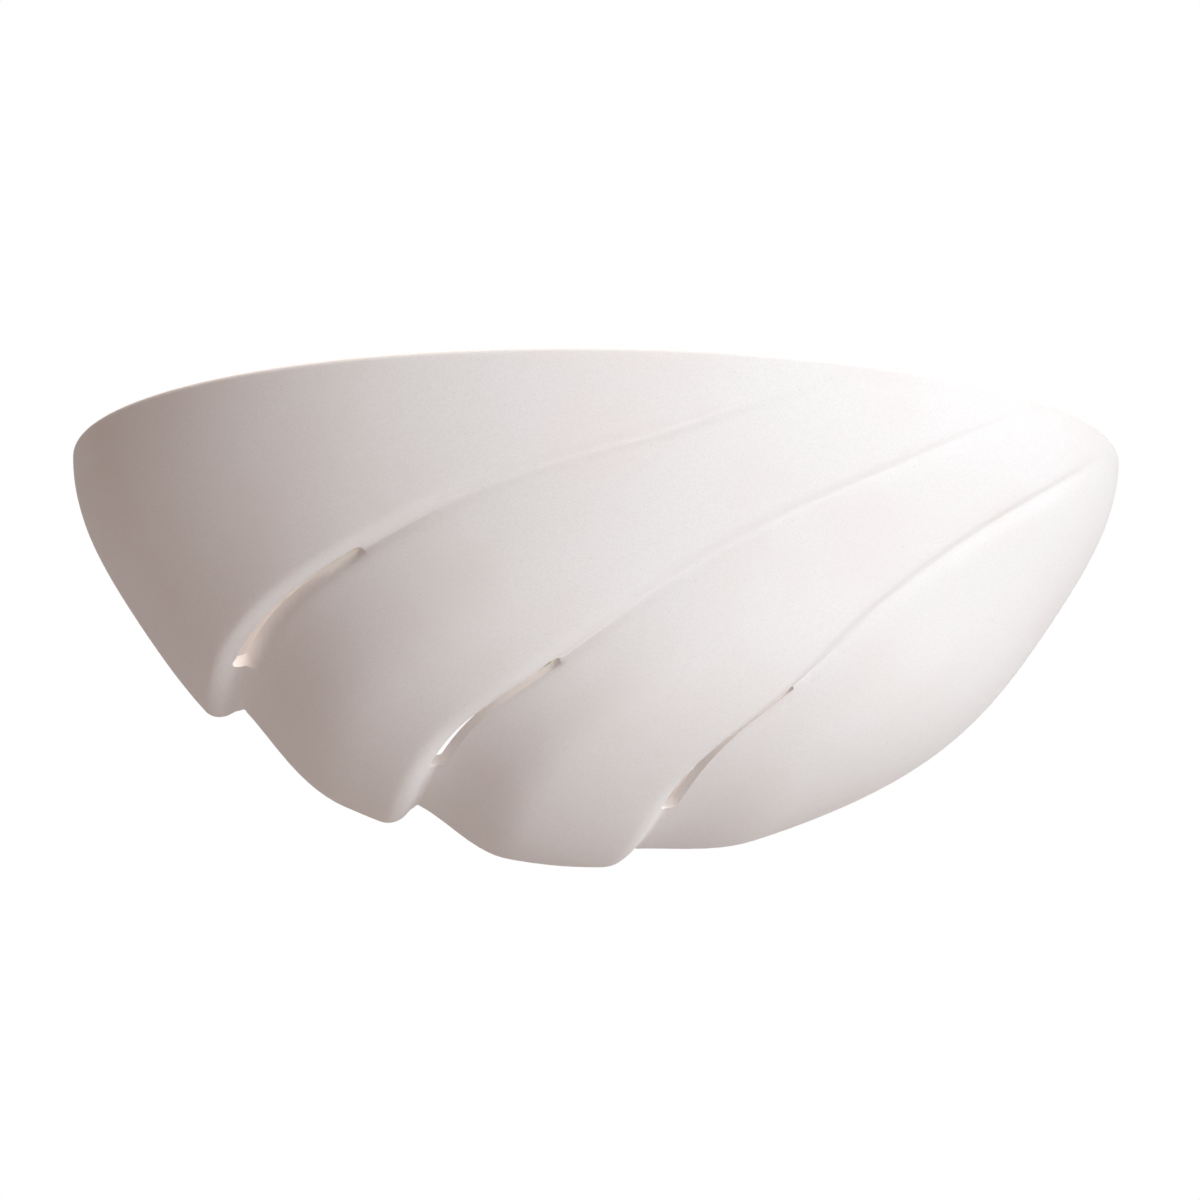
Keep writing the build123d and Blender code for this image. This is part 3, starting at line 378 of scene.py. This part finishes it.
def nickel():
    """Nickel plate, softly polished."""
    return plated(
        "nickel_plate", bpy.context.scene.sconce_colours.nickel, smoothest=0.14, roughest=0.28,
        tarnish=(0.62, 0.58, 0.50), lines=(1, 9, 1),
    )


def aluminium():
    """The lamp cap's rolled sheet, with lines round it."""
    return plated(
        "rolled_aluminium", (0.74, 0.74, 0.75), smoothest=0.24, roughest=0.40,
        tarnish=(0.58, 0.58, 0.58), lines=(9, 1, 1),
    )


def solder():
    """Dull, slightly pitted solder."""
    finish = Finish("solder", roughness=0.45, metallic=1.0)
    lumps = finish.noise(1.1 * MM, detail=3)
    finish.set(base_color=finish.mix(lumps, (0.50, 0.50, 0.50), (0.66, 0.66, 0.65)))
    finish.bumps(lumps, 0.12 * MM, strength=0.6)
    return finish.material


def tungsten():
    """Dark drawn wire."""
    finish = Finish("tungsten", roughness=0.4, metallic=1.0)
    sheen = finish.noise(0.6 * MM, detail=2)
    finish.set(base_color=finish.mix(sheen, (0.20, 0.19, 0.19), (0.38, 0.36, 0.34)))
    return finish.material


def rubber():
    """Black rubber with a dry grey bloom."""
    black, dry = bpy.context.scene.sconce_colours.rubber, (0.085, 0.083, 0.080)
    finish = Finish("grommet_rubber")
    bloom = finish.noise(3 * MM, detail=4)
    finish.set(
        base_color=finish.mix(finish.spread(bloom, 0.4, 0.8) * 0.6, black, dry),
        roughness=finish.spread(bloom, 0.3, 0.7, 0.58, 0.82),
    )
    finish.bumps(finish.noise(0.5 * MM, detail=2), 0.04 * MM, strength=0.5)
    return finish.material


def porcelain():
    """White glaze, bare and matt where the body stood in the kiln, at its open end."""
    glaze = bpy.context.scene.sconce_colours.porcelain
    iron_speck, bare_body = (0.45, 0.38, 0.30), (0.78, 0.74, 0.66)
    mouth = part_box("lampholder_body")[1].x
    finish = Finish("porcelain", coat_roughness=0.06)
    bare = finish.spread(finish.axis("X"), mouth - 0.9 * MM, mouth - 0.4 * MM)
    clouds = finish.noise(8 * MM, detail=3)
    specks = finish.spread(finish.noise(1.1 * MM, detail=2), 0.70, 0.76)
    glazed = finish.mix(clouds * 0.6, glaze, tinted(glaze, 0.93))
    glazed = finish.mix(specks * 0.5, glazed, iron_speck)
    finish.set(
        base_color=finish.mix(bare, glazed, bare_body),
        roughness=finish.spread(bare, 0, 1, 0.14, 0.75),
        coat_weight=finish.spread(bare, 0, 1, 0.8, 0.0),
    )
    finish.bumps(finish.noise(4 * MM, detail=1), 0.08 * MM, strength=0.35)
    return finish.material


def bulb_glass():
    """Thin clear blown glass, faintly hazed inside."""
    finish = Finish("blown_glass", transmission_weight=1.0, ior=1.46)
    haze = finish.noise(14 * MM, detail=3)
    finish.set(
        base_color=finish.mix(haze, (0.97, 0.97, 0.96), (0.93, 0.93, 0.91)),
        roughness=finish.spread(haze, 0.35, 0.75, 0.02, 0.10),
    )
    finish.bumps(finish.noise(20 * MM, detail=1), 0.2 * MM, strength=0.15)
    return finish.material


def vitrite():
    """The black glass between the cap and its contact."""
    finish = Finish("black_glass", roughness=0.16, coat_weight=0.5)
    seeds = finish.noise(1.2 * MM, detail=3)
    finish.set(base_color=finish.mix(seeds, (0.010, 0.010, 0.014), (0.045, 0.040, 0.045)))
    finish.bumps(seeds, 0.05 * MM, strength=0.4)
    return finish.material


def polyamide():
    """Natural white moulded plastic of the terminal block."""
    finish = Finish("polyamide", subsurface_weight=0.08)
    flow = finish.noise(5 * MM, detail=3, stretch=(1, 1, 3))
    finish.set(
        base_color=finish.mix(flow, (0.82, 0.80, 0.74), (0.76, 0.73, 0.66)),
        roughness=finish.spread(flow, 0.3, 0.7, 0.38, 0.54),
    )
    finish.bumps(finish.noise(0.4 * MM, detail=2), 0.03 * MM, strength=0.5)
    return finish.material


def insulation(name, colour, upper, stripe_foot):
    """A lead's skin, with another colour above a height, and bare copper at the lead's ends."""
    block_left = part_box("terminal_block")[0].x
    terminal_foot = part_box("lampholder_terminals")[0].z
    finish = Finish(name)
    scuffs = finish.noise(2 * MM, detail=4)
    strands = finish.noise(0.25 * MM, detail=1, stretch=(0.1, 1, 1))
    bare = (finish.axis("X") > block_left) + (finish.axis("Z") > terminal_foot)
    bare = finish.spread(bare, 0.0, 1.0)
    skin = finish.mix(finish.axis("Z") > stripe_foot, colour, upper)
    skin = finish.mix(finish.spread(scuffs, 0.5, 0.8) * 0.3, skin, tinted(colour, 1.6))
    copper = finish.mix(strands, (0.72, 0.33, 0.18), (0.48, 0.20, 0.11))
    finish.set(
        base_color=finish.mix(bare, skin, copper),
        metallic=bare,
        roughness=finish.spread(scuffs, 0.3, 0.7, 0.30, 0.48),
    )
    finish.bumps(scuffs, 0.04 * MM, strength=0.4)
    return finish.material


def floor_paint():
    """Pale paint whose own white, seen by the camera alone, grows to its edge."""
    near, far = 1.0, 7.5
    least_white = 0.8
    finish = Finish("floor", roughness=0.8)
    clouds = finish.noise(0.3, detail=2)
    finish.set(base_color=finish.mix(clouds, (0.93, 0.93, 0.93), (0.91, 0.91, 0.91)))
    white = finish.add("ShaderNodeEmission", values={"Strength": 1.0})
    fade = finish.spread(finish.away(), near, far, least_white, 1.0, way="LINEAR")
    share = Socket(finish, seen_directly(finish.tree)) * fade
    own = finish.shader.outputs[0]
    end_in_mix(finish.tree, "Material Output", share.output, own, white.output)
    return finish.material


# ------------------------------------------------------- modelling helpers
def dress(material, *names):
    """Gives CAD nodes a material in place of their own."""
    for name in names:
        mesh = bpy.data.objects[name].data
        mesh.materials.clear()
        mesh.materials.append(material)


def alone(piece):
    """Makes one object the only one selected, and the active one."""
    bpy.ops.object.select_all(action="DESELECT")
    piece.select_set(True)
    bpy.context.view_layer.objects.active = piece


def settle(piece, name, material, body, slot, *stands_for):
    """Names a finished mesh, puts its place in the mesh, and hands it to its body."""
    alone(piece)
    bpy.ops.object.transform_apply(location=True, rotation=True, scale=True)
    piece.name = piece.data.name = name
    piece.data.materials.clear()
    piece.data.materials.append(material)
    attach(piece, body)
    if stands_for:
        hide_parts(*stands_for)


def smooth_copy(node, crease):
    """A merged copy of a CAD node's mesh, shaded smooth except at its sharp edges."""
    same_point = 0.002 * MM
    copy = bpy.data.objects.new(node + "_copy", bpy.data.objects[node].data.copy())
    bpy.context.scene.collection.objects.link(copy)
    alone(copy)
    if copy.data.has_custom_normals:
        bpy.ops.mesh.customdata_custom_splitnormals_clear()
    bpy.ops.object.mode_set(mode="EDIT")
    bpy.ops.mesh.select_all(action="SELECT")
    bpy.ops.mesh.remove_doubles(threshold=same_point)
    bpy.ops.object.mode_set(mode="OBJECT")
    bpy.ops.object.shade_smooth_by_angle(angle=crease)
    return copy


# ------------------------------------------------------- operators, one for each piece or group
class SCONCE_OT_shell(bpy.types.Operator):
    """Finish the ceramic shell: a smooth skin in matt bisque"""

    bl_idname = "sconce.shell"
    bl_label = "Ceramic shell"

    def execute(self, context):
        skin = smooth_copy("ceramic_shell", crease=math.radians(38))
        settle(skin, "bisque_shell", bisque(), "shell", "bisque", "ceramic_shell")
        return {"FINISHED"}


class SCONCE_OT_plate(bpy.types.Operator):
    """Finish the wall plate, the lamp bracket and its rivets"""

    bl_idname = "sconce.plate"
    bl_label = "Wall plate and bracket"

    def execute(self, context):
        dress(powder_paint(), "wall_plate", "lamp_bracket")
        dress(zinc(), "bracket_rivets")
        return {"FINISHED"}


class SCONCE_OT_fixings(bpy.types.Operator):
    """Finish the thumb screws, their washers, the bushes and the cable grommet"""

    bl_idname = "sconce.fixings"
    bl_label = "Thumb screws and bushes"

    def execute(self, context):
        dress(nickel(), "left_thumb_screw", "right_thumb_screw")
        dress(zinc(), "left_clamp_washer", "right_clamp_washer")
        dress(brass(), "fixing_bushes")
        dress(rubber(), "cable_grommet")
        return {"FINISHED"}


class SCONCE_OT_lampholder(bpy.types.Operator):
    """Finish the porcelain lampholder and its metal parts"""

    bl_idname = "sconce.lampholder"
    bl_label = "Lampholder"

    def execute(self, context):
        dress(porcelain(), "lampholder_body")
        dress(nickel(), "lampholder_liner")
        dress(brass(), "centre_contact", "lampholder_terminals")
        dress(zinc(), "lampholder_screws", "terminal_clamp_screws")
        return {"FINISHED"}


class SCONCE_OT_lamp(bpy.types.Operator):
    """Finish the lamp, and wind its filament as a real coil"""

    bl_idname = "sconce.lamp"
    bl_label = "Lamp"

    def execute(self, context):
        dress(bulb_glass(), "lamp_glass", "lamp_stem")
        dress(aluminium(), "lamp_cap")
        dress(vitrite(), "lamp_insulator")
        dress(solder(), "lamp_contact")
        wire = tungsten()
        dress(wire, "lamp_leads")
        coil = self.wind(context.scene.sconce_sizes)
        settle(coil, "filament_coil", wire, "lamp", "tungsten", "lamp_filament")
        return {"FINISHED"}

    def wind(self, sizes):
        """A circle screwed into a straight coil, each point then carried onto the arc."""
        wire_sides, steps_per_turn = 6, 10
        low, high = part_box("lamp_filament")
        half = (high.y - low.y) / 2 - sizes.coil_radius
        bow = high.x - low.x - 2 * sizes.coil_radius
        middle_y, middle_z = (low.y + high.y) / 2, (low.z + high.z) / 2
        arc_radius = (half ** 2 + bow ** 2) / (2 * bow)
        arc_centre_x = high.x - sizes.coil_radius - arc_radius
        sweep = 2 * math.asin(half / arc_radius)
        length = arc_radius * sweep
        bpy.ops.object.select_all(action="DESELECT")
        bpy.ops.mesh.primitive_circle_add(
            vertices=wire_sides, radius=sizes.coil_wire, location=(sizes.coil_radius, 0, 0),
            rotation=(math.pi / 2, 0, 0),
        )
        coil = bpy.context.object
        bpy.ops.object.transform_apply(location=True, rotation=True, scale=True)
        screw = coil.modifiers.new("wind", "SCREW")
        screw.axis = "Z"
        screw.iterations = sizes.coil_turns
        screw.screw_offset = length / sizes.coil_turns
        screw.steps = screw.render_steps = steps_per_turn
        screw.use_merge_vertices = False
        bpy.ops.object.modifier_apply(modifier=screw.name)
        for vertex in coil.data.vertices:
            across, out, run = vertex.co
            turn = (run / length - 0.5) * sweep
            reach = arc_radius + across
            vertex.co = (
                arc_centre_x + reach * math.cos(turn),
                middle_y + reach * math.sin(turn),
                middle_z + out,
            )
        bpy.ops.object.mode_set(mode="EDIT")
        bpy.ops.mesh.select_all(action="SELECT")
        bpy.ops.mesh.select_non_manifold()
        bpy.ops.mesh.edge_face_add()
        bpy.ops.mesh.select_all(action="SELECT")
        bpy.ops.mesh.normals_make_consistent(inside=False)
        bpy.ops.object.mode_set(mode="OBJECT")
        bpy.ops.object.shade_smooth()
        return coil


class SCONCE_OT_terminals(bpy.types.Operator):
    """Finish the terminal block, its screws and the earth stud"""

    bl_idname = "sconce.terminals"
    bl_label = "Terminal block and earth"

    def execute(self, context):
        dress(polyamide(), "terminal_block")
        dress(brass(), "terminal_inserts", "earth_tag", "earth_screw")
        dress(zinc(), "terminal_screws", "block_screw", "earth_washer")
        return {"FINISHED"}


class SCONCE_OT_leads(bpy.types.Operator):
    """Finish the three leads inside the fitting"""

    bl_idname = "sconce.leads"
    bl_label = "Leads"

    def execute(self, context):
        colours = context.scene.sconce_colours
        earth_yellow = (0.72, 0.58, 0.03)
        stripe_rise = 1.65 * MM
        skins = {
            "live_wire": (colours.live, colours.live),
            "neutral_wire": (colours.neutral, colours.neutral),
            "earth_wire": (colours.earth, earth_yellow),
        }
        for node, (lower, upper) in skins.items():
            stripe_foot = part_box(node)[0].z + stripe_rise
            name = node.replace("wire", "insulation")
            dress(insulation(name, lower, upper, stripe_foot), node)
        return {"FINISHED"}


class SCONCE_OT_stage(bpy.types.Operator):
    """Set the camera, the lamps, the room's light and the floor"""

    bl_idname = "sconce.stage"
    bl_label = "Camera, light and floor"

    def execute(self, context):
        studio = context.scene.sconce_studio
        self.camera(context.scene, studio)
        self.room(context.scene, studio)
        self.floor()
        self.lights(context.scene, studio)
        context.scene.view_settings.view_transform = "Standard"
        return {"FINISHED"}

    def camera(self, scene, studio):
        """A long lens, from a little below the rim, fitted to the photograph."""
        frame_pixels = 1200
        pixels_per_metre = 2685.8
        aim, aim_pixel = Vector((0, -0.060, -0.005)), (593.6, 574.4)
        side, rise = studio.camera_side, studio.camera_rise
        ahead = Vector((
            -math.sin(side) * math.cos(rise), math.cos(side) * math.cos(rise), math.sin(rise),
        ))
        data = bpy.data.cameras.new("camera")
        camera = bpy.data.objects.new("camera", data)
        scene.collection.objects.link(camera)
        camera.location = aim - ahead * studio.camera_distance
        camera.rotation_euler = ahead.to_track_quat("-Z", "Y").to_euler()
        data.sensor_width = 36
        data.lens = data.sensor_width * pixels_per_metre * studio.camera_distance / frame_pixels
        data.shift_x = (frame_pixels / 2 - aim_pixel[0]) / frame_pixels
        data.shift_y = (aim_pixel[1] - frame_pixels / 2) / frame_pixels
        data.clip_end = 30
        scene.camera = camera

    def room(self, scene, studio):
        """Warm soft light from all round, which the camera, gloss and glass see as white."""
        world = bpy.data.worlds.new("room")
        world.use_nodes = True
        scene.world = world
        tree = world.node_tree
        light = tree.nodes["Background"]
        white = tree.nodes.new("ShaderNodeBackground")
        shades = ((light, (1.0, 0.78, 0.70, 1), studio.room_light), (white, (1, 1, 1, 1), 1.0))
        for background, colour, strength in shades:
            background.inputs["Color"].default_value = colour
            background.inputs["Strength"].default_value = strength
        seen = seen_directly(tree)
        end_in_mix(tree, "World Output", seen, light.outputs[0], white.outputs[0])

    def floor(self):
        """A wide floor, nearly white, so far below that it hides no view from beneath."""
        width, drop = 16, 3.4
        bpy.ops.object.select_all(action="DESELECT")
        bpy.ops.mesh.primitive_plane_add(size=width, location=(0, 0, -drop))
        ground = bpy.context.object
        ground.name = "studio_floor"
        ground.data.materials.append(floor_paint())

    def lights(self, scene, studio):
        """A broad cool light level with the bowl on the right, and warm ones over its top."""
        key = self.light(scene, "key_light", "SUN", studio.key_strength, (0.87, 0.96, 1.0))
        key.data.angle = studio.key_spread
        key.rotation_euler = (math.pi / 2, 0, studio.key_side)
        top = self.light(scene, "top_light", "SUN", studio.top_strength, (1.0, 0.95, 0.90))
        top.data.angle = studio.key_spread
        bowl = self.light(scene, "bowl_light", "AREA", studio.bowl_power, (1.0, 0.94, 0.86))
        bowl.data.size = 0.25
        bowl.location = (0, -0.07, 0.36)

    def light(self, scene, name, kind, strength, colour):
        """A lamp of one kind, at the origin, pointing down."""
        data = bpy.data.lights.new(name, kind)
        data.energy = strength
        data.color = colour
        lamp = bpy.data.objects.new(name, data)
        scene.collection.objects.link(lamp)
        return lamp


class SCONCE_PT_panel(bpy.types.Panel):
    """Lists the steps that finish the sconce"""

    bl_label = "Shell wall sconce"
    bl_idname = "SCONCE_PT_panel"
    bl_space_type = "VIEW_3D"
    bl_region_type = "UI"
    bl_category = "Sconce"

    def draw(self, context):
        for step in STEPS:
            self.layout.operator(step.bl_idname, text=step.bl_label)


STEPS = (
    SCONCE_OT_stage, SCONCE_OT_shell, SCONCE_OT_plate, SCONCE_OT_fixings, SCONCE_OT_lampholder,
    SCONCE_OT_lamp, SCONCE_OT_terminals, SCONCE_OT_leads,
)
GROUPS = {
    "sconce_colours": SconceColours,
    "sconce_sizes": SconceSizes,
    "sconce_studio": SconceStudio,
}


def register():
    for group in GROUPS.values():
        bpy.utils.register_class(group)
    for step in STEPS:
        bpy.utils.register_class(step)
    bpy.utils.register_class(SCONCE_PT_panel)
    for name, group in GROUPS.items():
        setattr(bpy.types.Scene, name, PointerProperty(type=group))


def unregister():
    for name in GROUPS:
        delattr(bpy.types.Scene, name)
    bpy.utils.unregister_class(SCONCE_PT_panel)
    for step in reversed(STEPS):
        bpy.utils.unregister_class(step)
    for group in GROUPS.values():
        bpy.utils.unregister_class(group)


def main():
    """Runs every step in order."""
    register()
    for step in STEPS:
        family, name = step.bl_idname.split(".")
        result = getattr(getattr(bpy.ops, family), name)()
        if result != {"FINISHED"}:
            raise RuntimeError(step.bl_label + " did not finish")


if __name__ == "__main__":
    main()
